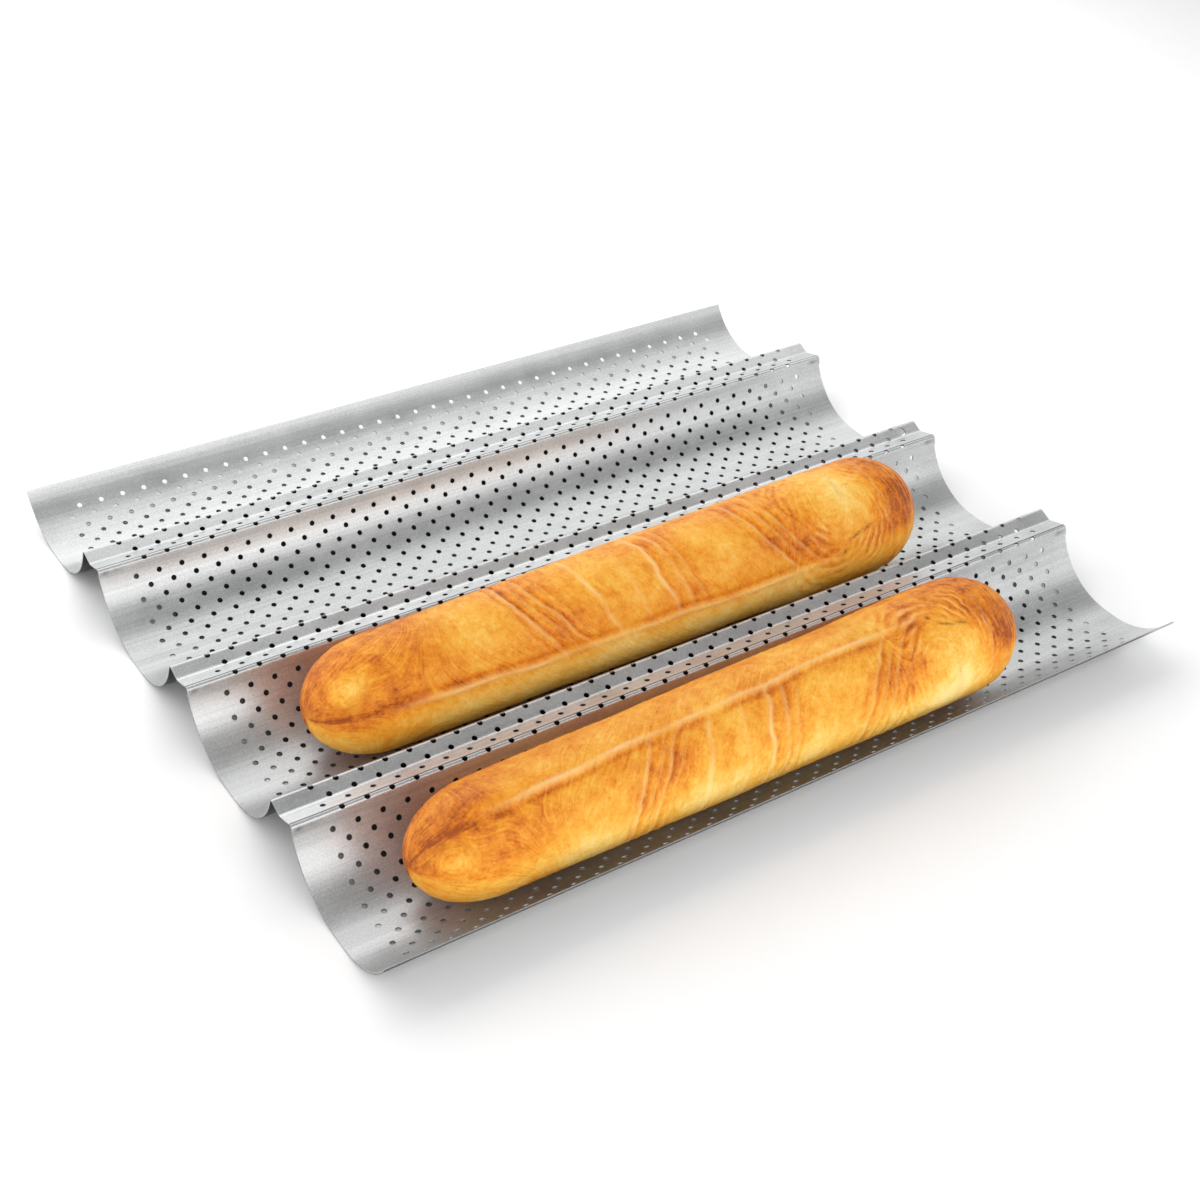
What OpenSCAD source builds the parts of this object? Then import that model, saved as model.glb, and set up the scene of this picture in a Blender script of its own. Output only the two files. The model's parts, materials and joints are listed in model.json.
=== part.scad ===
// Two baguettes on a four-channel perforated baking tray.
// The channels run along X, the back channel is at +Y, and the tray stands on Z = 0.
// Each channel is its own sheet with the groove in front of it, and that sheet's front
// edge folds down over the back wall of the next sheet.

/* [Tray] */
// Length of the channels, end to end
tray_length = 380; // [300:5:450]
// Distance from the middle of one channel to the middle of the next
channel_pitch = 86; // [84:0.5:90]
// Thickness of the sheet
sheet = 0.6; // [0.5:0.1:0.8]
// Radius of a channel's wall, at its upper surface
channel_radius = 33.5; // [33:0.1:35]
// Width of the flat that each channel stands on
foot_width = 7.5; // [6:0.1:9]
// Developed length of the outer walls of the tray, from the middle of their channel to the rim
outer_wall = 37; // [35:0.5:40]

/* [Ridges] */
// Downward slope of a groove's back side, in degrees
groove_back_slope = 23; // [20:1:26]
// Upward slope of a groove's front side, in degrees
groove_front_slope = 17; // [16:1:22]
// Length of each small flat that rounds a crest
crest_step = 0.42; // [0.35:0.01:0.5]
// Length of the folded edge below a front crest
fold_length = 3; // [2:0.1:4]
// Gap left between a folded edge and the wall that it holds
fold_gap = 0.05; // [0.03:0.01:0.1]
// How far the held wall stays below the start of the fold
fold_depth = 1; // [0.9:0.05:1.4]

/* [Perforation] */
// Diameter of the holes
hole_d = 2.3; // [1.6:0.1:2.4]
// Distance between the holes of a row
hole_pitch = 10; // [8:0.5:14]
// Plain margin from the tray's ends to the first holes
end_margin = 15; // [10:1:25]
// Plain margin below the outer rims
rim_margin = 12; // [8:1:15]
// Diameter of the hole that the tray hangs by
hang_d = 5.2; // [4:0.1:5.3]
// Distance of that hole from the tray's end
hang_inset = 10.5; // [8:0.5:15]

/* [Baguettes] */
// Length of the back baguette
back_loaf_length = 300; // [250:5:330]
// Length of the front baguette
front_loaf_length = 285; // [250:5:330]
// Radius of the back baguette near its thin left end, and near its thick right end
back_loaf_thin = 23.5; // [20:0.5:25]
back_loaf_thick = 27; // [24:0.5:29]
// Radius of the front baguette near its thin left end, and near its thick right end
front_loaf_thin = 22; // [20:0.5:25]
front_loaf_thick = 25.5; // [24:0.5:29]
// Length over which the thin end rounds off
loaf_thin_cap = 30; // [20:1:45]
// Length over which the thick end rounds off
loaf_thick_cap = 28; // [20:1:45]
// Depth of the flat underside
loaf_flat = 0.22; // [0.1:0.02:0.3]
// Gap between a baguette and the channel below it
loaf_gap = 0.3; // [0.2:0.05:0.5]
// X of the middle of the back baguette
back_loaf_x = -11; // [-25:1:20]
// X of the middle of the front baguette
front_loaf_x = -25; // [-40:1:20]

/* [Hidden] */
$fn = 48;
steel = [0.76, 0.77, 0.78];
crust = [0.87, 0.56, 0.22];
// The wall is bent in small steps: a row of holes sits in the middle of every second one.
wall_step = 2.5;
row_pitch = 2 * wall_step;
step_angle = wall_step / channel_radius * 180 / PI;
last_step = 18;
wall_angle = (last_step - 1) * step_angle;
foot_half = foot_width / 2;
wall_steps = last_step - 1;
crest_steps = 5;
cut = 5 * sheet;
channel_y = [for (k = [0:3]) (1.5 - k) * channel_pitch];

function dir(a) = [cos(a), sin(a)];
function total(v, i = 0) = i == len(v) ? [0, 0] : v[i] + total(v, i + 1);
function move_of(runs) = total([for (r = runs) r[0] * dir(r[1])]);
function backwards(v) = [for (i = [len(v) - 1:-1:0]) v[i]];
// Points along a list of [length, angle] runs.
function walk(runs, from) =
  [for (i = [0:len(runs)]) from + move_of(i == 0 ? [] : [for (j = [0:i - 1]) runs[j]])];
// Angle of the underside's direction at point i of a path, and the mitre's stretch there.
function before(runs, i) = runs[max(i - 1, 0)][1];
function after(runs, i) = runs[min(i, len(runs) - 1)][1];
function under(runs, pts, thickness) =
  [for (i = [0:len(pts) - 1])
    let (mid = (before(runs, i) + after(runs, i)) / 2, half = (after(runs, i) - before(runs, i)) / 2)
    pts[i] + thickness / cos(half) * dir(mid - 90)];

// The wall from the foot upwards, up to a developed distance from the channel's middle.
function wall_runs(reach) =
  [for (j = [1:wall_steps])
    let (run = min(wall_step, reach - foot_half - (j - 1) * wall_step))
    if (run > 0.01) [run, j * step_angle]];
function mirrored(runs) = backwards([for (r = runs) [r[0], -r[1]]]);
full_wall = foot_half + wall_steps * wall_step;
wall_top = [foot_half, sheet] + move_of(wall_runs(full_wall));

// A crest turns from one slope to another in equal steps.
function crest(from, to) =
  [for (i = [1:crest_steps]) [crest_step, from + (to - from) * i / (crest_steps + 1)]];
back_crest = crest(wall_angle, -groove_back_slope);
front_crest = crest(groove_front_slope, -wall_angle);
valley = [[2 * crest_step, (groove_front_slope - groove_back_slope) / 2]];
// The fold's upper surface lies one sheet and one gap inside the next channel's wall.
fold_shift = (sheet + fold_gap) / sin(wall_angle);
crest_level = wall_top + move_of(back_crest);
groove_span = channel_pitch - 2 * wall_top[0] + fold_shift
  - move_of(back_crest)[0] - move_of(valley)[0] - move_of(front_crest)[0];
groove_rise = -move_of(back_crest)[1] - move_of(valley)[1] - move_of(front_crest)[1];
groove_turn = groove_back_slope + groove_front_slope;
function slope_run(slope, rise) = (groove_span * sin(slope) + rise * cos(slope)) / sin(groove_turn);
back_slope_run = slope_run(groove_front_slope, -groove_rise);
front_slope_run = slope_run(groove_back_slope, groove_rise);
back_slope_middle = crest_level + back_slope_run / 2 * dir(-groove_back_slope);
ridge_runs = concat(back_crest, [[back_slope_run, -groove_back_slope]], valley,
  [[front_slope_run, groove_front_slope]], front_crest, [[fold_length, -wall_angle]]);

// The rows of holes go on across the ridge, one row pitch apart, from the end of the back crest.
first_ridge_row = crest_steps * crest_step;
// The start of a path, up to a developed distance along it.
function up_to(runs, s, i = 0) =
  s <= runs[i][0] ? [[s, runs[i][1]]] : concat([runs[i]], up_to(runs, s - runs[i][0], i + 1));

// Where the wall stands at a developed distance s from the middle, and how steep it is there.
function step_of(s) = max(0, ceil((abs(s) - foot_half) / wall_step));
function wall_at(s) =
  let (p = [foot_half, sheet] + move_of(wall_runs(abs(s))))
  abs(s) <= foot_half ? [s, sheet] : [sign(s) * p[0], p[1]];

module profile(back_reach, front_reach, with_ridge) {
  back = mirrored(wall_runs(back_reach));
  runs = concat(back, [[foot_width, 0]], wall_runs(front_reach), with_ridge ? ridge_runs : []);
  top = walk(runs, [-foot_half, sheet] - move_of(back));
  outline = concat(top, backwards(under(runs, top, sheet)));
  polygon([for (p = outline) [-p[0], p[1]]]);
}

module drill(x, place, angle, d) {
  translate([x, -place[0], place[1]]) rotate([-angle, 0, 0]) cylinder(d = d, h = cut, center = true);
}

// Every other row is half a pitch to the side.
module row(index, place, angle) {
  half_row = tray_length / 2 - end_margin - (index % 2 == 0 ? 0 : hole_pitch / 2);
  for (x = [-half_row:hole_pitch:half_row + 0.01]) drill(x, place, angle, hole_d);
}

module wall_rows(first, last) {
  for (i = [first:last])
    row(abs(i), wall_at(i * row_pitch), sign(i) * step_of(i * row_pitch) * step_angle);
}

module ridge_rows() {
  for (i = [0:3]) {
    runs = up_to(ridge_runs, first_ridge_row + i * row_pitch);
    row(i, wall_top + move_of(runs), runs[len(runs) - 1][1]);
  }
}

module hanging_hole() {
  drill(tray_length / 2 - hang_inset, back_slope_middle, -groove_back_slope, hang_d);
}

module channel_sheet(number) {
  first = number == 1;
  last = number == 4;
  back_reach = first ? outer_wall : full_wall - fold_depth;
  front_reach = last ? outer_wall : full_wall;
  outer_rows = floor((outer_wall - rim_margin) / row_pitch);
  color(steel) translate([0, channel_y[number - 1], 0]) difference() {
    rotate([90, 0, 90]) linear_extrude(height = tray_length, center = true)
      profile(back_reach, front_reach, !last);
    wall_rows(first ? -outer_rows : -floor((full_wall - fold_length - fold_depth) / row_pitch),
      last ? outer_rows : floor(full_wall / row_pitch));
    if (!last) ridge_rows();
    if (number == 2) hanging_hole();
  }
}

// A baguette's outline is a tapering line with an elliptical cap at each end.
cap_steps = 9;
function loaf_radius(x, length, radii) = radii[0] + (radii[1] - radii[0]) * x / length;
function loaf_outline(length, radii) = concat(
  [for (i = [0:cap_steps])
    let (a = 90 * i / cap_steps, x = loaf_thin_cap * (1 - cos(a)))
    [sin(a) * loaf_radius(x, length, radii), x]],
  [for (i = [cap_steps:-1:0])
    let (a = 90 * i / cap_steps, x = length - loaf_thick_cap * (1 - cos(a)))
    [sin(a) * loaf_radius(x, length, radii), x]]);

// The loaf is turned by its taper, so that its underside lies level along the channel.
module baguette(length, radii, x, y) {
  taper = atan((radii[1] - radii[0]) / length);
  floor_z = sheet + loaf_gap;
  middle_z = floor_z - loaf_flat + (radii[0] + radii[1]) / 2 * cos(taper);
  color(crust) intersection() {
    translate([x, y, middle_z]) rotate([0, 90 - taper, 0]) translate([0, 0, -length / 2])
      rotate_extrude($fn = 96) polygon(loaf_outline(length, radii));
    translate([x - length, y - channel_pitch / 2, floor_z]) cube([2 * length, channel_pitch, channel_pitch]);
  }
}

module channel_sheet_1() { channel_sheet(1); }
module channel_sheet_2() { channel_sheet(2); }
module channel_sheet_3() { channel_sheet(3); }
module channel_sheet_4() { channel_sheet(4); }
module baguette_back() {
  baguette(back_loaf_length, [back_loaf_thin, back_loaf_thick], back_loaf_x, channel_y[2]);
}
module baguette_front() {
  baguette(front_loaf_length, [front_loaf_thin, front_loaf_thick], front_loaf_x, channel_y[3]);
}

channel_sheet_1();
channel_sheet_2();
channel_sheet_3();
channel_sheet_4();
baguette_back();
baguette_front();
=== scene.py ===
"""Two baguettes on a four-channel perforated tray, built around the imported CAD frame.

Meshes are in millimetres until new_piece() turns them into metres; lights and camera are in metres.
The tray's sheets are drawn flat, with their holes, and then bent. A loaf is a stack of rings, with its
relief, tones and streaks worked out from how far along it and how far round it each point is.
"""
import json
import math

import bpy
import numpy as np
from mathutils import Matrix, Vector


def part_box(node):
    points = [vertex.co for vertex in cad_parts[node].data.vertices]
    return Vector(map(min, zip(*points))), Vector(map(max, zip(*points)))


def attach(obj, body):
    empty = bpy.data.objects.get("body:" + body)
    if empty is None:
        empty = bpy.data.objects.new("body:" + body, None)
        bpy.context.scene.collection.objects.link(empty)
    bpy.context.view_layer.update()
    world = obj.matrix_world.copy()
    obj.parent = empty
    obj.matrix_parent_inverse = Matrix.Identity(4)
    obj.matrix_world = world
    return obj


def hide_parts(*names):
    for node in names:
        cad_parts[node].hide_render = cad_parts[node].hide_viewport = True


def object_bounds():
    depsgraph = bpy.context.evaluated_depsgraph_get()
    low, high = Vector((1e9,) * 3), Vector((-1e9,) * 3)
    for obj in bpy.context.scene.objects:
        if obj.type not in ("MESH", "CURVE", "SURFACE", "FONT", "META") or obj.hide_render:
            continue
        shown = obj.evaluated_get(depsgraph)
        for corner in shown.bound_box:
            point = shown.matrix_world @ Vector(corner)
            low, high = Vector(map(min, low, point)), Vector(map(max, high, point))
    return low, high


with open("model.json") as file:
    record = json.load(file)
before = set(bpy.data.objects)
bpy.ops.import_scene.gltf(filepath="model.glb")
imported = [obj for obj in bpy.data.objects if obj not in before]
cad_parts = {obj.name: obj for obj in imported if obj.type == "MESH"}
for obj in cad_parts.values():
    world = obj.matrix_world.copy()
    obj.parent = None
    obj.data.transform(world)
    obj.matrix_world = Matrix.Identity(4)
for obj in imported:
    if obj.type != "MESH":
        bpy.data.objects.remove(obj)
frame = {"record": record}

CAD_LOW, CAD_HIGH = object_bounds()
MM = 0.001


# ---------------------------------------------------------------- small tools

def smooth(low, high, value):
    """0 up to low, 1 from high on, and an even S between them. It also runs downwards, if low > high."""
    t = np.clip((value - low) / (high - low), 0, 1)
    return t * t * (3 - 2 * t)


def bump_at(value, middle, width):
    """A rounded hump of height 1 at middle."""
    return np.exp(-(((value - middle) / width) ** 2))


class ValueNoise:
    """Seeded smooth noise from -1 to 1 over two coordinates, repeating every SIZE units."""

    SIZE = 256

    def __init__(self, seed):
        self.grid = np.random.RandomState(seed).uniform(-1, 1, (self.SIZE, self.SIZE))

    def corner(self, i, j):
        return self.grid[i % self.SIZE, j % self.SIZE]

    def __call__(self, a, b):
        i = np.floor(a).astype(int)
        j = np.floor(b).astype(int)
        u = smooth(0, 1, a - i)
        v = smooth(0, 1, b - j)
        near = self.corner(i, j) * (1 - u) + self.corner(i + 1, j) * u
        far = self.corner(i, j + 1) * (1 - u) + self.corner(i + 1, j + 1) * u
        return near * (1 - v) + far * v

    def layered(self, a, b, octaves):
        """Each octave is twice as fine and half as strong, and starts at a place of its own."""
        return sum(self(a * 2**k + 17 * k, b * 2**k + 31 * k) / 2**k for k in range(octaves))


def new_piece(name, points, quads, triangles=()):
    """A mesh object from points in millimetres, with smooth faces."""
    mesh = bpy.data.meshes.new(name)
    faces = [tuple(quad) for quad in quads.tolist()] + [tuple(triangle) for triangle in triangles]
    mesh.from_pydata((points * MM).tolist(), [], faces)
    mesh.polygons.foreach_set("use_smooth", np.ones(len(mesh.polygons), bool))
    piece = bpy.data.objects.new(name, mesh)
    bpy.context.scene.collection.objects.link(piece)
    return piece


def add_values(piece, name, values):
    """Stores one number per vertex under a name that materials can read."""
    layer = piece.data.attributes.new(name, "FLOAT", "POINT")
    layer.data.foreach_set("value", values.astype(np.float32))


# ---------------------------------------------------------------- materials

class Nodes:
    """Short forms for building a material's node tree."""

    def __init__(self, name):
        self.material = bpy.data.materials.new(name)
        self.material.use_nodes = True
        self.tree = self.material.node_tree
        self.shader = next(node for node in self.tree.nodes if node.type == "BSDF_PRINCIPLED")

    def add(self, kind, inputs=None, **settings):
        node = self.tree.nodes.new(kind)
        for key, value in settings.items():
            setattr(node, key, value)
        for key, value in (inputs or {}).items():
            self.give(node.inputs[key], value)
        return node

    def give(self, socket, value):
        """Links a socket to another node's output, or sets it to a plain value."""
        if isinstance(value, bpy.types.NodeSocket):
            self.tree.links.new(value, socket)
        else:
            socket.default_value = value

    def math(self, operation, a, b=0.0):
        return self.add("ShaderNodeMath", {0: a, 1: b}, operation=operation).outputs[0]

    def weighted(self, *terms):
        """The sum of (value, weight) pairs."""
        total = 0.0
        for value, weight in terms:
            total = self.math("ADD", total, self.math("MULTIPLY", value, weight))
        return total

    def centred(self, value):
        """Moves a noise of 0 to 1 to lie around 0."""
        return self.math("SUBTRACT", value, 0.5)

    def spread(self, value, low, high, to_low=0.0, to_high=1.0):
        """Maps low..high to to_low..to_high, clamped."""
        inputs = {"Value": value, "From Min": low, "From Max": high, "To Min": to_low, "To Max": to_high}
        return self.add("ShaderNodeMapRange", inputs, clamp=True).outputs["Result"]

    def noise(self, vector, scale, detail=3.0, roughness=0.5, distortion=0.0):
        inputs = {"Vector": vector, "Scale": scale, "Detail": detail, "Roughness": roughness,
                  "Distortion": distortion}
        return self.add("ShaderNodeTexNoise", inputs).outputs["Fac"]

    def mix(self, factor, a, b):
        """Colour a where the factor is 0, and colour b where it is 1."""
        node = self.add("ShaderNodeMix", data_type="RGBA")
        self.give(node.inputs[0], factor)
        self.give(node.inputs[6], a)
        self.give(node.inputs[7], b)
        return node.outputs[2]

    def ramp(self, value, stops):
        """Colours by value, from (place, colour) pairs."""
        node = self.add("ShaderNodeValToRGB", {"Fac": value})
        elements = node.color_ramp.elements
        elements.remove(elements[1])
        for i, (at, colour) in enumerate(stops):
            stop = elements[0] if i == 0 else elements.new(at)
            stop.position = at
            stop.color = (*colour, 1)
        return node.outputs["Color"]

    def value(self, name):
        """A number stored by add_values()."""
        return self.add("ShaderNodeAttribute", attribute_name=name).outputs["Fac"]

    def place(self):
        return self.add("ShaderNodeTexCoord").outputs["Object"]

    def stretched(self, vector, scale):
        return self.add("ShaderNodeMapping", {"Vector": vector, "Scale": scale}).outputs["Vector"]

    def bump(self, height, strength, distance):
        inputs = {"Height": height, "Strength": strength, "Distance": distance}
        return self.add("ShaderNodeBump", inputs).outputs["Normal"]


DARK_STEEL = (0.42, 0.43, 0.43, 1)
PALE_STEEL = (0.67, 0.68, 0.68, 1)
# Painted shadow and painted shade, for the folds and the crimps:
FOLD_SHADOW = (0.05, 0.05, 0.055, 1)
CRIMP_SHADOW = (0.08, 0.08, 0.085, 1)
# Painted shade for the underside, so that the holes look dark.
UNDERSIDE_PAINTED_SHADE = (0.03, 0.03, 0.03, 1)


def satin_metal():
    """Rolled, satin sheet: fine grain, faint rolling lines, a painted shadow line at each fold and painted
    shade in its crimps.
    """
    m = Nodes("satin_metal")
    place = m.place()
    grain = m.noise(place, 1500, 2, 0.6)
    cloud = m.noise(place, 55, 3, 0.55)
    lines = m.noise(m.stretched(place, (6, 900, 900)), 1.0, 2, 0.5)
    tone = m.weighted((grain, 0.5), (cloud, 0.25), (lines, 0.25))
    colour = m.mix(m.spread(tone, 0.34, 0.66), DARK_STEEL, PALE_STEEL)
    # Painted shadow: a thin dark line where each ridge folds over, and painted shade in the crimps below
    # it.
    from_fold = m.math("ABSOLUTE", m.math("SUBTRACT", m.value("developed"), FRONT_CREST + 0.1))
    colour = m.mix(m.spread(from_fold, 0.50, 0.24, 0.0, 0.9), colour, FOLD_SHADOW)
    colour = m.mix(m.value("crimp_painted_shade"), colour, CRIMP_SHADOW)
    # Painted shade on the underside.
    colour = m.mix(m.value("under"), colour, UNDERSIDE_PAINTED_SHADE)
    m.give(m.shader.inputs["Base Color"], colour)
    m.shader.inputs["Metallic"].default_value = 0.72
    rough = m.spread(m.weighted((grain, 0.5), (cloud, 0.5)), 0.3, 0.7, 0.30, 0.42)
    m.give(m.shader.inputs["Roughness"], rough)
    height = m.weighted((grain, 0.6), (lines, 0.4))
    m.give(m.shader.inputs["Normal"], m.bump(height, 0.3, 0.0001))
    return m.material


# Crust colours, from the palest tone to the brownest.
CRUST_TONES = [
    (0.00, (0.97, 0.73, 0.27)),
    (0.25, (0.93, 0.57, 0.12)),
    (0.48, (0.87, 0.40, 0.040)),
    (0.70, (0.76, 0.25, 0.014)),
    (0.88, (0.56, 0.14, 0.008)),
    (1.00, (0.34, 0.07, 0.005)),
]
PALE_DOUGH = (0.97, 0.73, 0.34, 1)
CHAR = (0.10, 0.025, 0.008, 1)


def crust(name, shift):
    """Baked crust: golden skin with fibres along the dough's flow, pale puffs and browned ends."""
    m = Nodes(name)
    flow = m.add("ShaderNodeCombineXYZ", {"X": m.value("across"), "Y": m.value("along"), "Z": shift})
    flow = flow.outputs[0]
    fine = m.noise(m.stretched(flow, (0.80, 0.13, 1)), 1.0, 4, 0.62, 0.2)
    broad = m.noise(m.stretched(flow, (0.22, 0.05, 1)), 1.0, 3, 0.55, 0.3)
    place = m.place()
    patch = m.noise(place, 60, 3, 0.6)
    mottle = m.noise(place, 210, 4, 0.65)
    speck = m.noise(place, 800, 2, 0.6)
    # Fibres show more where the mesh says so. Mottling and specks lie over the whole skin.
    strength = m.math("ADD", m.math("MULTIPLY", m.value("fibre"), 0.62), 0.22)
    fibres = m.math("MULTIPLY", m.centred(fine), strength)
    tone = m.weighted((m.value("tone"), 1), (fibres, 1), (m.centred(broad), 0.22),
                      (m.centred(patch), 0.36), (m.centred(mottle), 0.64), (m.centred(speck), 0.34))
    pale = m.math("MULTIPLY", m.value("pale"), m.spread(mottle, 0.3, 0.6, 0.55, 1.0))
    colour = m.mix(pale, m.ramp(tone, CRUST_TONES), PALE_DOUGH)
    colour = m.mix(m.value("char"), colour, CHAR)
    m.give(m.shader.inputs["Base Color"], colour)
    m.give(m.shader.inputs["Roughness"], m.spread(mottle, 0.3, 0.7, 0.42, 0.62))
    m.shader.inputs["Specular IOR Level"].default_value = 0.24
    height = m.weighted((fine, 0.5), (mottle, 0.4), (speck, 0.12))
    m.give(m.shader.inputs["Normal"], m.bump(height, 0.75, 0.0011))
    return m.material


# A painted shadow on the paper under the tray: full from the first of these distances inside the tray's
# edges, and none at the second.
SHADE_FULL = 0.03
SHADE_NONE = 0.012
# Colour of the painted shadow.
PAINTED_SHADOW_COLOUR = (0.06, 0.06, 0.06, 1)


def floor_paper():
    """Pale paper with a painted shadow under the tray, so that the holes look black."""
    m = Nodes("floor_paper")
    place = m.place()
    colour = m.mix(m.noise(place, 40, 3), (0.95, 0.95, 0.95, 1), (0.98, 0.98, 0.98, 1))
    split = m.add("ShaderNodeSeparateXYZ", {"Vector": place})
    shade = 1.0
    for axis, reach in (("X", CAD_HIGH[0]), ("Y", CAD_HIGH[1])):
        out = m.math("ABSOLUTE", split.outputs[axis])
        inside = m.spread(out, reach - SHADE_FULL, reach - SHADE_NONE, 1.0, 0.0)
        shade = m.math("MULTIPLY", shade, inside)
    # Painted shadow under the tray.
    m.give(m.shader.inputs["Base Color"], m.mix(shade, colour, PAINTED_SHADOW_COLOUR))
    m.shader.inputs["Roughness"].default_value = 0.8
    return m.material


# ---------------------------------------------------------------- the tray's sheets

MOUNTS = {mount["name"]: mount for mount in frame["record"]["mounts"]}
CHANNEL_Y = [MOUNTS[f"foot_{k}"]["pos_m"][1] / MM for k in (1, 2, 3, 4)]
PITCH = CHANNEL_Y[0] - CHANNEL_Y[1]
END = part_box("channel_sheet_2")[1].x / MM
SHEET = 0.6
# A channel's wall, at its upper surface
RADIUS = 33.5
# Lengths along the bent surface: half the flat under a channel, and the curved wall beside it.
FLAT_HALF = 2.5
WALL_TURN = 42.5
WALL_ANGLE = WALL_TURN / RADIUS
# Distances from a channel's middle, along the bent surface: where a wall meets its ridge, where a wall
# that a fold holds ends, and where the tray's outer rims are.
WALL_END = 46.04
HELD_WALL = 45.25
OUTER_WALL = 37.0
# A ridge: a rounded crest, a slope down, a valley, a slope up, a crest, and the fold over the next wall.
BACK_SLOPE = math.radians(-23)
FRONT_SLOPE = math.radians(17)
CREST_ARC = 2.52
VALLEY_ARC = 1.68
FOLD = 2.79
FOLD_GAP = 0.05
# Perforation: radius and pitch of the holes, pitch of the rows, and the plain margin at the tray's ends.
HOLE_R = 1.15
HOLE_PITCH = 10
ROW_PITCH = 5
END_MARGIN = 15
# Rows of holes from a channel's middle to an outer rim, to the ridge in front, and to the fold behind.
OUTER_ROWS = 5
FRONT_ROWS = 9
BACK_ROWS = 8
# Where the last band of a wall's holes ends, and where the ridge's first row is, along the bent surface.
WALL_BANDS_END = 46.35
FIRST_RIDGE_ROW = 48.35
# Distance between lines of vertices: along X, on plain walls, round a bend and on a ridge's end.
COLUMN = 2.5
WALL_STEP = 1.3
BEND_STEP = 0.35
FOLD_STEP = 0.5
# Lines of vertices in the band of sheet round a wall's row of holes.
BAND_LEVELS = 5
# Bands round the ridge's rows of holes: where each starts and ends, and its lines of vertices.
RIDGE_BANDS = [(47.05, 50.6, 9), (50.6, 55.4, 9), (56.6, 60.1, 5), (61.9, 64.75, 9)]
HANG = MOUNTS["hanging_hole"]
HANG_X = HANG["pos_m"][0] / MM
HANG_R = HANG["dims"]["r_mm"]
# How far the hanging hole is from the channel's middle, along the bent surface
HANG_S = 51.12
# The hanging hole's cell of sheet lies between these places along X.
HANG_EDGES = (176.5, 182.5)


class Strip:
    """The upper surface of a bent strip: runs of even curvature, measured from the channel's middle."""

    def __init__(self):
        self.start = [0.0]
        self.angle = [0.0]
        self.turn = []
        self.point = [np.array([0.0, SHEET])]

    def run(self, length, angle):
        """Goes on for a length, turning evenly to an angle."""
        self.turn.append((angle - self.angle[-1]) / length)
        step = self.step(self.angle[-1], self.turn[-1], length)
        self.point.append(self.point[-1] + np.array(step))
        self.start.append(self.start[-1] + length)
        self.angle.append(angle)

    @staticmethod
    def step(angle, turn, length):
        """How far a run goes forward and up: a circle's arc, or a straight line where it doesn't turn."""
        straight = np.abs(turn) < 1e-9
        safe = np.where(straight, 1.0, turn)
        to = angle + turn * length
        forward = np.where(straight, length * np.cos(angle), (np.sin(to) - np.sin(angle)) / safe)
        up = np.where(straight, length * np.sin(angle), (np.cos(angle) - np.cos(to)) / safe)
        return forward, up

    def at(self, s):
        """Distance forward of the channel's middle, height and slope at developed distances s."""
        far = np.abs(s)
        i = np.clip(np.searchsorted(self.start, far, side="right") - 1, 0, len(self.turn) - 1)
        into = far - np.array(self.start)[i]
        angle = np.array(self.angle)[i]
        turn = np.array(self.turn)[i]
        forward, up = self.step(angle, turn, into)
        point = np.array(self.point)[i]
        side = np.where(s < 0, -1.0, 1.0)
        return side * (point[:, 0] + forward), point[:, 1] + up, side * (angle + turn * into)


def bent_strip():
    """Half a channel and the ridge in front of it, up to the end of the fold over the next channel."""
    strip = Strip()
    strip.run(FLAT_HALF, 0.0)
    strip.run(WALL_TURN, WALL_ANGLE)
    strip.run(WALL_END - FLAT_HALF - WALL_TURN, WALL_ANGLE)
    # The two slopes are as long as it takes to meet the fold over the next channel's wall.
    start = strip.point[-1]
    arcs = [(WALL_ANGLE, BACK_SLOPE, CREST_ARC), (BACK_SLOPE, FRONT_SLOPE, VALLEY_ARC),
            (FRONT_SLOPE, -WALL_ANGLE, CREST_ARC)]
    bends = sum(np.array(Strip.step(a, (b - a) / length, length)) for a, b, length in arcs)
    inset = (SHEET + FOLD_GAP) / math.sin(WALL_ANGLE)
    goal = np.array([PITCH - start[0] + inset, start[1]]) - start - bends
    slopes = np.array([[math.cos(BACK_SLOPE), math.cos(FRONT_SLOPE)],
                       [math.sin(BACK_SLOPE), math.sin(FRONT_SLOPE)]])
    back, front = np.linalg.solve(slopes, goal)
    strip.run(CREST_ARC, BACK_SLOPE)
    strip.run(back, BACK_SLOPE)
    strip.run(VALLEY_ARC, FRONT_SLOPE)
    strip.run(front, FRONT_SLOPE)
    strip.run(CREST_ARC, -WALL_ANGLE)
    strip.run(FOLD, -WALL_ANGLE)
    return strip


STRIP = bent_strip()
RIDGE_END = STRIP.start[-1]
FRONT_CREST = STRIP.start[-3]
# Lines of vertices across the sheets, with one more where the hanging hole's cell starts.
COLUMNS = np.array(sorted({*np.arange(-END, END + 0.01, COLUMN), HANG_EDGES[0]}))


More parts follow.
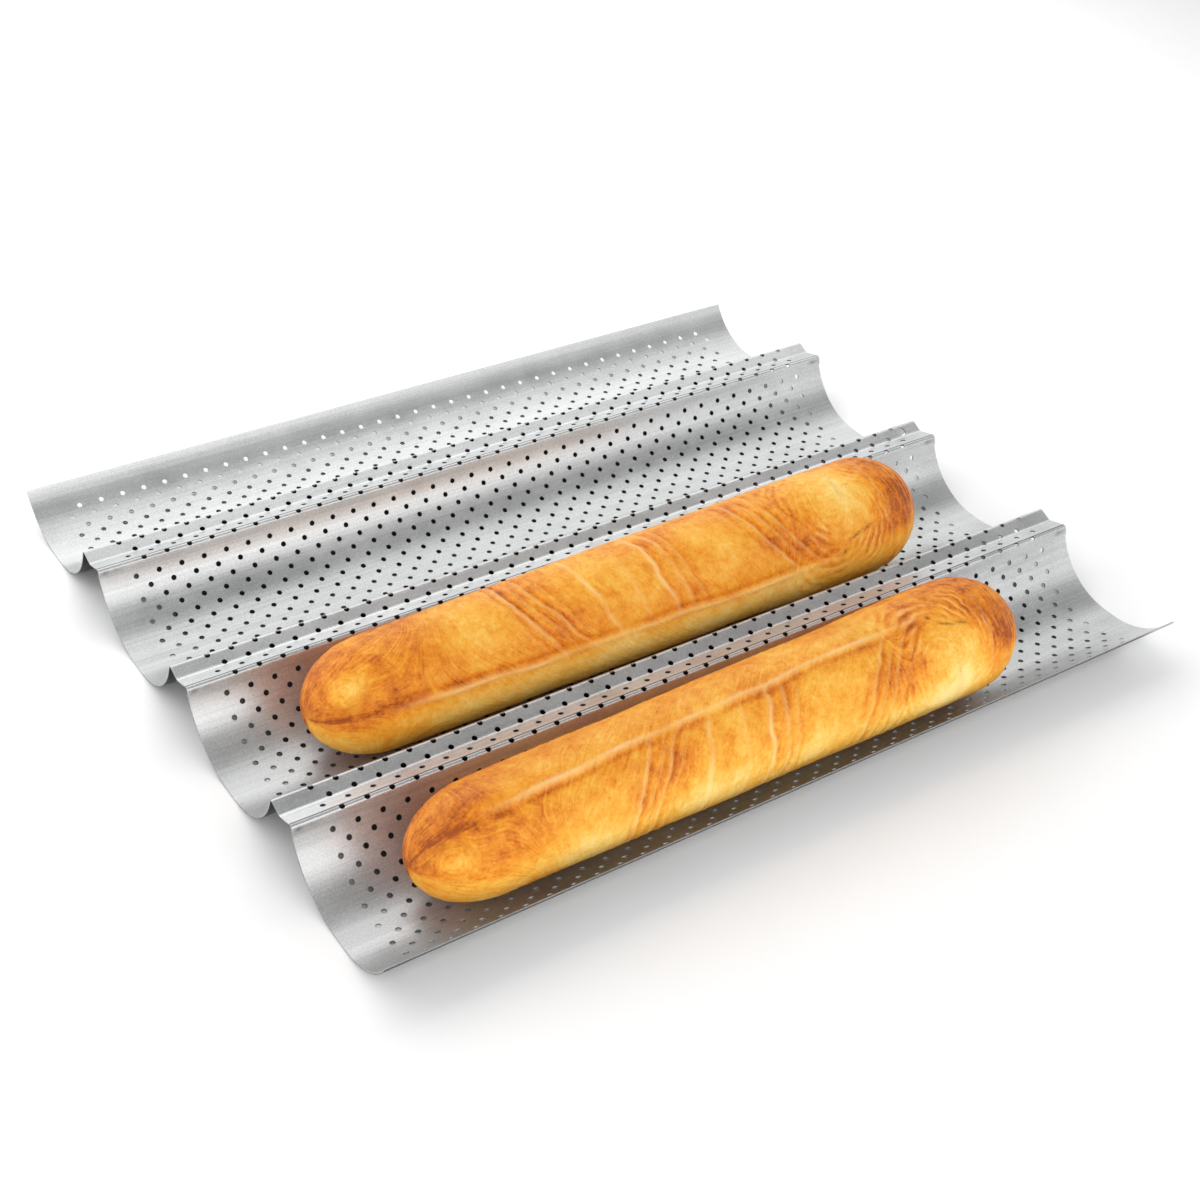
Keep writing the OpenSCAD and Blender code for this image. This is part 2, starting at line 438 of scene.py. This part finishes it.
class FlatSheet:
    """A perforated sheet drawn flat, as quads over x and the developed distance s."""

    def __init__(self):
        self.corners = []

    def grid(self, xs, levels):
        x0, s0 = np.meshgrid(xs[:-1], levels[:-1])
        x1, s1 = np.meshgrid(xs[1:], levels[1:])
        quads = np.stack([x0, s0, x1, s0, x1, s1, x0, s1], -1).reshape(-1, 4, 2)
        self.corners.append(quads)

    def plain(self, levels):
        """Sheet without holes, over its whole length."""
        self.grid(COLUMNS, np.array(levels))

    def holed(self, low, high, levels, middle, radius):
        """One cell, from low to high and over all levels, with a round hole in it."""
        xs = COLUMNS[(COLUMNS > low - 0.01) & (COLUMNS < high + 0.01)]
        levels = np.array(levels)
        rim = [(x, levels[0]) for x in xs[:-1]]
        rim += [(xs[-1], s) for s in levels[:-1]]
        rim += [(x, levels[-1]) for x in xs[:0:-1]]
        rim += [(xs[0], s) for s in levels[:0:-1]]
        rim = np.array(rim)
        n = len(rim)
        turn = -math.pi / 2 - (len(xs) - 1) / n * math.pi + np.arange(n) * 2 * math.pi / n
        hole = np.stack([middle[0] + radius * np.cos(turn), middle[1] + radius * np.sin(turn)], -1)
        after = np.roll(np.arange(n), -1)
        self.corners.append(np.stack([rim, rim[after], hole[after], hole], 1))

    def band(self, levels, middle_s, xs, blocked=None):
        """A row of holes, with plain sheet between its ends and the sheet's, except in the blocked part."""
        covered = [blocked] if blocked else []
        for x in xs:
            low = x - HOLE_PITCH / 2
            high = x + HOLE_PITCH / 2
            if blocked and low < blocked[0] < high:
                high = blocked[0]
            self.holed(low, high, levels, (x, middle_s), HOLE_R)
            covered.append((low, high))
        for x0, x1 in zip(COLUMNS[:-1], COLUMNS[1:]):
            if not any(low - 0.01 < x0 and x1 < high + 0.01 for low, high in covered):
                self.grid(np.array([x0, x1]), levels)

    def merged(self):
        """The sheet's points, and its quads as indices of them."""
        corners = np.concatenate(self.corners)
        points, index = np.unique(np.round(corners.reshape(-1, 2), 4), axis=0, return_inverse=True)
        return points, index.reshape(-1, 4)


def steps(low, high, longest):
    """Evenly spaced levels from low to high, no further apart than longest."""
    return np.linspace(low, high, max(2, math.ceil((high - low) / longest) + 1))


def hole_xs(row):
    """Where the holes of a row are. Every other row is half a pitch to the side."""
    reach = END - END_MARGIN - (HOLE_PITCH / 2 if row % 2 else 0)
    return np.arange(-reach, reach + 0.01, HOLE_PITCH)


def add_ridge(flat, with_hanging_hole):
    """The ridge in front of a channel: four rows of holes, and finer levels round the bends."""
    blocked = HANG_EDGES if with_hanging_hole else None
    level = WALL_BANDS_END
    for i, (low, high, count) in enumerate(RIDGE_BANDS):
        if low > level + 0.01:
            flat.plain(steps(level, low, BEND_STEP))
        row_at = FIRST_RIDGE_ROW + i * ROW_PITCH
        flat.band(np.linspace(low, high, count), row_at, hole_xs(i), blocked if i < 2 else None)
        level = high
    flat.plain(steps(level, RIDGE_END, FOLD_STEP))
    if with_hanging_hole:
        # The hanging hole's cell is as high as the first two bands together.
        first, second = (np.linspace(*band) for band in RIDGE_BANDS[:2])
        flat.holed(*HANG_EDGES, [*first, *second[1:]], (HANG_X, HANG_S), HANG_R)


def flat_sheet(number):
    """A channel with its rows of holes, and the ridge in front of it, or a rim where there is none."""
    flat = FlatSheet()
    first = number == 1
    last = number == 4
    back = OUTER_WALL if first else HELD_WALL
    back_rows = OUTER_ROWS if first else BACK_ROWS
    front_rows = OUTER_ROWS if last else FRONT_ROWS
    half = ROW_PITCH / 2
    flat.plain(steps(-back, -back_rows * ROW_PITCH - half, WALL_STEP))
    for i in range(-back_rows, front_rows + 1):
        low = i * ROW_PITCH - half
        high = min(i * ROW_PITCH + half, WALL_BANDS_END)
        flat.band(np.linspace(low, high, BAND_LEVELS), i * ROW_PITCH, hole_xs(i))
    if last:
        flat.plain(steps(front_rows * ROW_PITCH + half, OUTER_WALL, WALL_STEP))
    else:
        add_ridge(flat, number == 2)
    return flat


# Crimps that hold the folds near the tray's ends: place along it, and half width.
CRIMPS = [(-187, 1.6), (-181.5, 1.2), (184.5, 1.3), (188.5, 1.2)]
CRIMP_DEPTH = 0.28
# How far the crimps' middles are beyond the start of the front crest, and how far they reach from there.
CRIMP_AT = 3.3
CRIMP_REACH = 0.9
# The underside has painted shade, so that the holes look dark: full up to the first of these places along
# X, and none from the second on.
UNDER_SHADE_FULL_TO = 168
UNDER_SHADE_NONE_FROM = 180


def crimp_dents(x, s):
    """How deep the crimps press into the folds."""
    dents = sum(bump_at(x, at, width) for at, width in CRIMPS)
    return dents * bump_at(s, FRONT_CREST + CRIMP_AT, CRIMP_REACH) * CRIMP_DEPTH


def outline_of(quads):
    """The directed edges that belong to only one quad: the sheet's edges and its holes."""
    edges = np.stack([quads, np.roll(quads, -1, 1)], -1).reshape(-1, 2)
    _, index, uses = np.unique(np.sort(edges, 1), axis=0, return_index=True, return_counts=True)
    return edges[index[uses == 1]]


def outward(flat, rim):
    """At each point of the outline, the flat direction that leads off the sheet."""
    out = np.zeros((len(flat), 2))
    run = flat[rim[:, 1]] - flat[rim[:, 0]]
    right = np.stack([run[:, 1], -run[:, 0]], -1)
    for end in (0, 1):
        np.add.at(out, rim[:, end], right)
    return out / np.maximum(np.linalg.norm(out, axis=1, keepdims=True), 1e-9)


def channel_sheet(number, material):
    """Bends the flat sheet, gives it its thickness and closes every edge and hole."""
    flat, quads = flat_sheet(number).merged()
    x = flat[:, 0]
    s = flat[:, 1]
    forward, z, angle = STRIP.at(s)
    up = np.stack([np.zeros_like(s), np.sin(angle), np.cos(angle)], -1)
    along = np.stack([np.zeros_like(s), -np.cos(angle), np.sin(angle)], -1)
    dent = crimp_dents(x, s)
    top = np.stack([x, CHANNEL_Y[number - 1] - forward, z], -1) - up * dent[:, None]
    bottom = top - up * SHEET
    count = len(flat)
    rim = outline_of(quads)
    walls = np.stack([rim[:, 0], rim[:, 1], rim[:, 1], rim[:, 0]], 1)
    faces = np.concatenate([quads[:, ::-1], quads + count, walls + np.array([0, 0, count, count])])
    piece = new_piece(f"perforated_sheet_{number}", np.concatenate([top, bottom]), faces)
    # Smooth shading that follows the bent surface, and turns the corner at each edge.
    out = outward(flat, rim)
    side = out[:, :1] * np.array([1.0, 0, 0]) + out[:, 1:] * along
    normals = np.concatenate([up[quads[:, ::-1]], -up[quads], side[walls]])
    piece.data.normals_split_custom_set(normals.reshape(-1, 3).tolist())
    add_values(piece, "developed", np.concatenate([s, s]))
    # Mask for painted shade in the crimps, on the upper surface only.
    add_values(piece, "crimp_painted_shade", np.clip(np.concatenate([dent, dent * 0]) * 2.6, 0, 0.9))
    # Mask for painted shade on the underside.
    add_values(piece, "under", np.concatenate([x * 0, smooth(UNDER_SHADE_NONE_FROM, UNDER_SHADE_FULL_TO, x)]))
    piece.data.materials.append(material)
    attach(piece, "tray")
    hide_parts(f"channel_sheet_{number}")


# ---------------------------------------------------------------- the loaves

# Places on a loaf: p is millimetres from the left tip of a loaf this long, and deg is degrees round it,
# from the top towards the front.
REFERENCE_LENGTH = 300
SEED = 11
# Creases across the loaf: place on top, lean towards the front, width, depth, paleness behind them.
CREASES = [(83, 0.75, 0.7, 0.45, 0.15), (87, 0.85, 0.9, 0.8, 0.55), (92, 0.95, 0.7, 0.5, 0.2),
           (97, 1.0, 1.0, 0.9, 0.4), (102, 1.05, 0.6, 0.4, 0.1), (141, 0.3, 0.6, 0.3, 0.3),
           (153, 0.35, 1.0, 0.8, 1.3), (160, 0.38, 0.8, 0.6, 0.5), (165, 0.42, 0.6, 0.4, 0.2),
           (121, 0.5, 0.6, 0.3, 0.7), (196, 0.9, 0.7, 0.4, 0.1), (202, 0.95, 1.1, 0.9, 0.5),
           (207, 1.0, 0.7, 0.6, 0.2), (213, 1.0, 1.0, 0.7, 0.35), (219, 1.0, 0.7, 0.5, 0.1)]
# Puffed, paler places: along the loaf, round it in degrees, half lengths of both, paleness.
PUFFS = [(124, 12, 14, 30, 0.18), (140, 30, 8, 34, 0.12), (184, 34, 12, 22, 0.13), (172, 2, 10, 20, 0.08),
         (251, 16, 8, 28, 0.46), (243, -6, 9, 16, 0.12), (228, 4, 12, 20, 0.10), (11, 33, 6, 14, 0.30),
         (60, 20, 16, 26, 0.08), (112, 60, 12, 14, 0.08)]
# Cracks beside the blister: along the loaf, round it in degrees, half lengths of both.
CRACKS = [(252, 65, 3.6, 1.2), (245.5, 78, 0.9, 2.2), (259, 61, 2.2, 1.1)]
# The seam low on the front, in degrees round the loaf.
SEAM_AT = 74
# The blister near the right end and the blob at the left tip: along the loaf, round it in degrees, and
# how much distances round the loaf are shortened, which stretches their rings.
BLISTER_AT = 251
BLISTER_ROUND = 20
BLISTER_SQUEEZE = 0.62
BLOB_AT = 11
BLOB_ROUND = 34
BLOB_SQUEEZE = 0.8
# The front loaf is the back one's mirror image: what is low on one's front is high on the other's. Two
# places that match add up to this many degrees.
MIRROR_SUM = 92
# The swirl round the blister begins this many radians back from straight right, and winds in by this
# many millimetres a radian.
SWIRL_FROM = 2.1
SWIRL_PITCH = 9


def lean(deg):
    """How far the dough's creases run along the loaf as they go down its front, in millimetres."""
    return 0.0022 * np.maximum(deg + 20, 0) ** 2


class Crust:
    """Relief, tone and streak direction over a loaf: p along it, around in degrees from the top."""

    def __init__(self, p, around, radius, mirrored):
        deg = (MIRROR_SUM - around + 180) % 360 - 180 if mirrored else around
        self.p = p
        self.deg = deg
        self.around = around
        self.radius = radius
        self.noise = ValueNoise(SEED)
        self.height = self.noise.layered(p / 40 + 5, deg / 70, 2) * 0.35
        self.tone = 0.57 + self.noise.layered(p / 22 + 9, deg / 40 + 3, 3) * 0.10
        self.pale = np.zeros_like(p)
        self.char = np.zeros_like(p)
        self.fibre = 0.30 + 0.35 * self.noise.layered(p / 30 + 50, deg / 30 + 20, 2)
        self.from_blister = self.distance(BLISTER_AT, BLISTER_ROUND, BLISTER_SQUEEZE)
        self.from_blob = self.distance(BLOB_AT, BLOB_ROUND, BLOB_SQUEEZE)
        # The swirl winds in from the left, below the blister, to its right side.
        below = np.radians(deg - BLISTER_ROUND) * radius * BLISTER_SQUEEZE
        self.turn = (np.arctan2(below, p - BLISTER_AT) + SWIRL_FROM) % (2 * math.pi)
        whole_turn = smooth(0, 1.5, self.turn) * smooth(2 * math.pi, 2 * math.pi - 1.5, self.turn)
        wound = self.turn - SWIRL_FROM - math.pi / 2
        self.swirl = self.from_blister - SWIRL_PITCH * wound * whole_turn

    def distance(self, at, round_at, squeeze):
        """How far each point is from a place, over the skin."""
        return np.hypot(self.p - at, np.radians(self.deg - round_at) * self.radius * squeeze)

    def flow(self):
        """Streaks follow the creases on the body, and run round the blister and the left tip."""
        wander = self.noise.layered(self.p / 24, self.deg / 34, 3) * 1.7
        right = smooth(212, 240, self.p + 0.12 * self.deg)
        left = smooth(66, 22, self.p + 0.15 * (self.deg - 30))
        middle = (1 - right) * (1 - left)
        arc = np.radians(self.deg) * self.radius
        body = self.p - lean(self.deg) * 0.95
        length_wise = arc * 1.1 + 0.12 * self.p
        round_blob = smooth(10, 4, self.from_blob)
        tip = length_wise * (1 - round_blob) + self.from_blob * round_blob
        self.across = body * middle + (216 + self.swirl) * right + tip * left + wander
        self.along = arc * middle + np.abs(self.turn - math.pi) * 20 * right + self.p * left
        self.fibre += 0.35 * right * smooth(10, 22, self.from_blister) + 0.3 * left

    def creases(self):
        """Dark furrows across the top and front, each with a swelling on its right and a pale left edge."""
        reach = smooth(-50, -22, self.deg) * smooth(SEAM_AT + 12, SEAM_AT - 14, self.deg)
        for at, slant, width, depth, light in CREASES:
            wobble = self.noise(self.p / 14 + at, self.deg / 20) * 1.1
            wobble += self.noise(self.p / 5 + at, self.deg / 7) * 0.35
            line = self.p - at - lean(self.deg) * slant - wobble
            here = reach * np.clip(0.75 + 0.45 * self.noise(self.deg / 22 + at, self.p / 60), 0, 1.2)
            swelling = bump_at(line, 2.6, 1.7) * 0.35
            self.height += (swelling - bump_at(line, 0, 1.1 * width)) * depth * here
            browning = bump_at(line, 4.2, 3.4) * 0.06
            self.tone += (bump_at(line, 0.3, 0.9 * width) * 0.26 * depth + browning) * here
            self.pale += bump_at(line, -1.9, 1.0) * light * 0.75 * here
            self.fibre += bump_at(line, 1, 6) * 0.22 * here

    def puffs(self):
        """Places where the crust rose: higher, paler and smoother."""
        for at, round_at, half_p, half_deg, light in PUFFS:
            hump = bump_at(self.p, at + lean(self.deg) * 0.35, half_p)
            hump *= bump_at(self.deg, round_at, half_deg)
            self.height += hump * 0.5
            self.tone -= hump * light
            self.fibre -= hump * 0.25

    def seam(self):
        """The long thin ridge low on the front: pale, with a brown line above it."""
        seam_at = SEAM_AT + 6 * smooth(120, 190, self.p) - 5 * smooth(90, 50, self.p)
        seam_at = seam_at + self.noise(self.p / 18, self.p * 0) * 2.2
        self.off_seam = np.radians(self.deg - seam_at) * self.radius
        here = smooth(22, 50, self.p) * smooth(248, 218, self.p)
        here = here * (0.75 + 0.35 * self.noise(self.p / 11, self.p * 0 + 4))
        ridge = bump_at(self.off_seam, 0.6, 1.2) * 0.75
        furrow = bump_at(self.off_seam, -1.8, 1.2) * 0.45
        self.height += (ridge - furrow) * here
        self.pale += bump_at(self.off_seam, 0.8, 1.1) * 0.62 * here
        brown_line = bump_at(self.off_seam, -2.2, 1.5) * 0.22
        paler_below = bump_at(self.off_seam, 6, 5) * 0.06
        self.tone += (brown_line - paler_below) * here

    def left_tip(self):
        """A fold across the tip, under a small pale blob, and browner crust round both."""
        near = smooth(46, 18, self.p)
        fold = self.off_seam + (self.p - 18) * 0.12
        self.height -= bump_at(fold, 0, 1.4) * 0.6 * near * smooth(0, 4, self.p)
        self.tone += bump_at(fold, -0.5, 2.2) * 0.17 * near
        self.tone += smooth(75, 8, self.p) * 0.21 + bump_at(self.from_blob, 15, 6) * 0.08 * near

    def right_swirl(self):
        """Thin layers swirling round the blister, and a dark brown crescent at the tip."""
        wander = self.noise.layered(self.p / 14 + 3, self.deg / 22 + 8, 3) * 3.2
        layers = np.sin(self.swirl * 1.8 + wander)
        here = smooth(9, 15, self.from_blister) * smooth(52, 34, self.from_blister)
        here = here * smooth(0.1, 0.8, self.turn) * smooth(6.2, 5.5, self.turn) * smooth(206, 226, self.p)
        self.tone += bump_at(self.from_blister, 24, 9) * 0.14 * here
        # The layers show in places only, so they don't read as even rings.
        shown = self.noise.layered(self.p / 9 + 60, self.deg / 18 + 30, 2)
        here = here * np.clip(0.35 + 1.1 * shown, 0, 1)
        self.height += layers * 0.20 * here
        self.tone += layers * 0.13 * here
        self.pale += np.clip(-layers, 0, 1) ** 3 * 0.35 * here * smooth(34, 20, self.from_blister)
        edge = self.p + 3.0 * np.cos(np.radians(self.deg - 35))
        self.tone += smooth(262, 285, edge) * 0.20
        rim = edge - 275 - self.noise(self.deg / 14, self.deg * 0) * 1.2
        self.height -= bump_at(rim, 0, 0.9) * 0.6
        self.pale += bump_at(rim, -1.5, 0.8) * 0.16 * smooth(-50, -10, self.deg) * smooth(110, 80, self.deg)

    def painted_shade_and_patches(self):
        """Painted shade: browner at the back and round the underside. Also browner in one patch on top and
        a fainter one on the front. Painted light: paler low on the front.
        """
        # Painted shade on the back and round the underside.
        self.tone += smooth(-25, -70, self.around) * 0.14 + smooth(128, 165, np.abs(self.around)) * 0.12
        self.tone += bump_at(self.p, 184, 16) * bump_at(self.deg, -26, 15) * 0.20
        self.tone += bump_at(self.p, 108, 10) * bump_at(self.deg, 46, 22) * 0.08
        # Painted light low on the front.
        self.tone -= smooth(66, 96, self.around) * smooth(180, 150, self.around) * 0.32

    def cracks(self):
        """A few short dark cracks beside the blister."""
        for at, round_at, half_p, half_deg in CRACKS:
            slanted = self.deg + (self.p - at) * 0.9
            crack = bump_at(self.p, at, half_p) * bump_at(slanted, round_at, half_deg)
            self.char += crack * 0.8
            self.height -= crack * 0.3

    def fibres(self):
        """Fine relief along the streaks, and a little in no direction."""
        fine = self.noise.layered(self.across * 0.9, self.along * 0.05 + 40, 3)
        self.height += fine * 0.16 * np.clip(self.fibre + 0.3, 0.2, 1.2)
        self.height += self.noise.layered(self.p / 2.6, self.deg / 6, 2) * 0.07

    def shape(self):
        """Everything above, in the order in which each part needs the ones before it."""
        self.flow()
        self.creases()
        self.puffs()
        self.seam()
        self.left_tip()
        self.right_swirl()
        self.painted_shade_and_patches()
        self.cracks()
        self.fibres()


# Lengths over which a loaf's left and right ends round off.
CAPS = (30, 28)
# Rings along a loaf, and points round each.
RINGS = 420
SIDES = 200
# How far the CAD solid's round outline would go below its flat underside.
FLAT_DEPTH = 0.22
# How far the skin lies inside the CAD solid's outline, as room for its relief.
RELIEF_ROOM = 0.9
# The smallest radius of a ring, and how far the two end points are inside the loaf's ends.
LEAST_RADIUS = 0.05
TIP_INSET = 0.15


def stations(length):
    """Where the rings are. They are closer together towards the ends."""
    t = np.linspace(0, 1, RINGS + 2)[1:-1]
    return length * (0.62 * t + 0.38 * (0.5 - 0.5 * np.cos(math.pi * t)))


def ring_faces():
    """Quads between the rings, and triangles from the first and last ring to the two tips."""
    i, j = np.meshgrid(np.arange(RINGS - 1) * SIDES, np.arange(SIDES), indexing="ij")
    after = (j + 1) % SIDES
    quads = np.stack([i + j, i + after, i + SIDES + after, i + SIDES + j], -1).reshape(-1, 4)
    last = (RINGS - 1) * SIDES
    tip = RINGS * SIDES
    fans = [(tip, (k + 1) % SIDES, k) for k in range(SIDES)]
    fans += [(tip + 1, last + k, last + (k + 1) % SIDES) for k in range(SIDES)]
    return quads, fans


def loaf(name, node, body, radii, trims, mirrored, material):
    """A tapering loaf in its CAD solid's box, shorter by the trims, with crust all over."""
    low, high = (np.array(corner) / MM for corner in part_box(node))
    low[0] += trims[0]
    high[0] -= trims[1]
    length = high[0] - low[0]
    middle_y = (low[1] + high[1]) / 2
    q = np.repeat(stations(length), SIDES)
    deg = np.tile(np.linspace(-180, 180, SIDES, endpoint=False), RINGS)
    body_r = radii[0] + (radii[1] - radii[0]) * q / length
    into_left = np.clip((CAPS[0] - q) / CAPS[0], 0, 1)
    into_right = np.clip((q - length + CAPS[1]) / CAPS[1], 0, 1)
    rounding = np.sqrt(1 - into_left**2) * np.sqrt(1 - into_right**2)

    skin = Crust(q / length * REFERENCE_LENGTH, deg, body_r, mirrored)
    skin.shape()
    r = np.maximum((body_r - RELIEF_ROOM) * rounding + skin.height * np.sqrt(rounding), LEAST_RADIUS)
    y = middle_y - r * np.sin(np.radians(deg))
    z = low[2] - FLAT_DEPTH + body_r + r * np.cos(np.radians(deg))
    # Nothing leaves the CAD solid's box.
    points = np.clip(np.stack([low[0] + q, y, z], -1), low, high)
    tips = np.array([[low[0] + TIP_INSET, middle_y, low[2] - FLAT_DEPTH + radii[0]],
                     [high[0] - TIP_INSET, middle_y, low[2] - FLAT_DEPTH + radii[1]]])
    piece = new_piece(name, np.concatenate([points, tips]), *ring_faces())
    for label in ("across", "along"):
        add_skin_values(piece, label, getattr(skin, label))
    for label in ("tone", "pale", "char", "fibre"):
        add_skin_values(piece, label, np.clip(getattr(skin, label), 0, 1))
    piece.data.materials.append(material)
    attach(piece, body)
    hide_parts(node)


def add_skin_values(piece, label, values):
    """Stores the rings' values, with the end rings' means at the two tips."""
    add_values(piece, label, np.concatenate([values, [values[:SIDES].mean(), values[-SIDES:].mean()]]))


# ---------------------------------------------------------------- floor, light and camera

FLOOR_SIZE = 8.0
FLOOR_CELLS = 8


def floor():
    """One wide sheet of pale paper."""
    line = np.linspace(-FLOOR_SIZE / 2, FLOOR_SIZE / 2, FLOOR_CELLS + 1) / MM
    x, y = np.meshgrid(line, line)
    points = np.stack([x.ravel(), y.ravel(), np.zeros(x.size)], -1)
    i, j = np.meshgrid(np.arange(FLOOR_CELLS), np.arange(FLOOR_CELLS), indexing="ij")
    row = FLOOR_CELLS + 1
    corner = i * row + j
    quads = np.stack([corner, corner + 1, corner + row + 1, corner + row], -1).reshape(-1, 4)
    piece = new_piece("floor", points, quads)
    piece.data.materials.append(floor_paper())


def graded(tree, value, start, end):
    """A smooth change from one level to another; start and end are (position, level)."""
    node = tree.nodes.new("ShaderNodeMapRange")
    node.interpolation_type = "SMOOTHSTEP"
    tree.links.new(value, node.inputs["Value"])
    for label, number in zip(("From Min", "To Min", "From Max", "To Max"), (*start, *end)):
        node.inputs[label].default_value = number
    return node.outputs["Result"]


SKY = 1.35


def sky():
    """A pale room: dimmer overhead than at the horizon, and dimmer to the right than to the left."""
    world = bpy.data.worlds.new("pale_room")
    bpy.context.scene.world = world
    world.use_nodes = True
    tree = world.node_tree
    background = next(node for node in tree.nodes if node.type == "BACKGROUND")
    place = tree.nodes.new("ShaderNodeTexCoord")
    split = tree.nodes.new("ShaderNodeSeparateXYZ")
    tree.links.new(place.outputs["Generated"], split.inputs[0])
    height = graded(tree, split.outputs["Z"], (0.45, 1.0), (0.80, 0.20))
    side = graded(tree, split.outputs["X"], (0.0, 1.0), (0.9, 0.62))
    both = tree.nodes.new("ShaderNodeMath")
    both.operation = "MULTIPLY"
    tree.links.new(height, both.inputs[0])
    tree.links.new(side, both.inputs[1])
    tree.links.new(both.outputs[0], background.inputs["Strength"])
    background.inputs["Color"].default_value = (SKY, SKY, SKY, 1)


# Soft boxes hang level over the tray. The gap between the front one and the near back one is what
# darkens a band along each channel. Each has a place along Y, a depth and a brightness.
BOX_X = -0.15
BOX_Z = 0.42
BOX_LENGTH = 1.7
SOFT_BOXES = {
    "front_box": (-0.81, 0.9, 1.15),
    "near_back_box": (0.18, 0.22, 1.1),
    "far_back_box": (0.64, 0.70, 1.45),
}


def soft_box(name, y, depth, radiance):
    """A lit rectangle, seen only in reflections and by its light."""
    light = bpy.data.lights.new(name, "AREA")
    light.shape = "RECTANGLE"
    light.size = BOX_LENGTH
    light.size_y = depth
    light.energy = radiance * math.pi * BOX_LENGTH * depth
    lamp = bpy.data.objects.new(name, light)
    lamp.location = (BOX_X, y, BOX_Z)
    lamp.visible_camera = False
    bpy.context.scene.collection.objects.link(lamp)


# The view's angles in degrees, its distance and the point looked at in metres, and its lens in millimetres.
AZIMUTH = -37.018
ELEVATION = 36.557
ROLL = 4.678
DISTANCE = 0.777831
TARGET = Vector((-0.011182, -0.023061, 0.012))
SENSOR_WIDTH = 36
FOCAL_LENGTH = 55.4244


def camera():
    """Sees the tray from the photograph's viewing angle."""
    azimuth = math.radians(AZIMUTH)
    elevation = math.radians(ELEVATION)
    roll = math.radians(ROLL)
    level = Vector((math.cos(azimuth), math.sin(azimuth), 0))
    back = Vector((math.sin(azimuth) * math.cos(elevation), -math.cos(azimuth) * math.cos(elevation),
                   math.sin(elevation)))
    right = level * math.cos(roll) + back.cross(level) * math.sin(roll)
    up = back.cross(right)
    turned = Matrix((right, up, back)).transposed().to_4x4()
    data = bpy.data.cameras.new("camera")
    data.sensor_width = SENSOR_WIDTH
    data.lens = FOCAL_LENGTH
    lens = bpy.data.objects.new("camera", data)
    lens.matrix_world = Matrix.Translation(TARGET + back * DISTANCE) @ turned
    bpy.context.scene.collection.objects.link(lens)
    bpy.context.scene.camera = lens


# ---------------------------------------------------------------- build

metal = satin_metal()
for number in (1, 2, 3, 4):
    channel_sheet(number, metal)
# Radii near the thin left end and near the thick right end, and what each end is shorter than the CAD's.
loaf("baked_loaf_back", "baguette_back", "back_loaf", radii=(23.5, 27), trims=(2.5, 2.5),
     mirrored=False, material=crust("crust_back", 0.0))
loaf("baked_loaf_front", "baguette_front", "front_loaf", radii=(22, 25.5), trims=(4, 2),
     mirrored=True, material=crust("crust_front", 7.0))
floor()
sky()
for name, (y, depth, radiance) in SOFT_BOXES.items():
    soft_box(name, y, depth, radiance)
camera()
bpy.context.scene.view_settings.view_transform = "Standard"
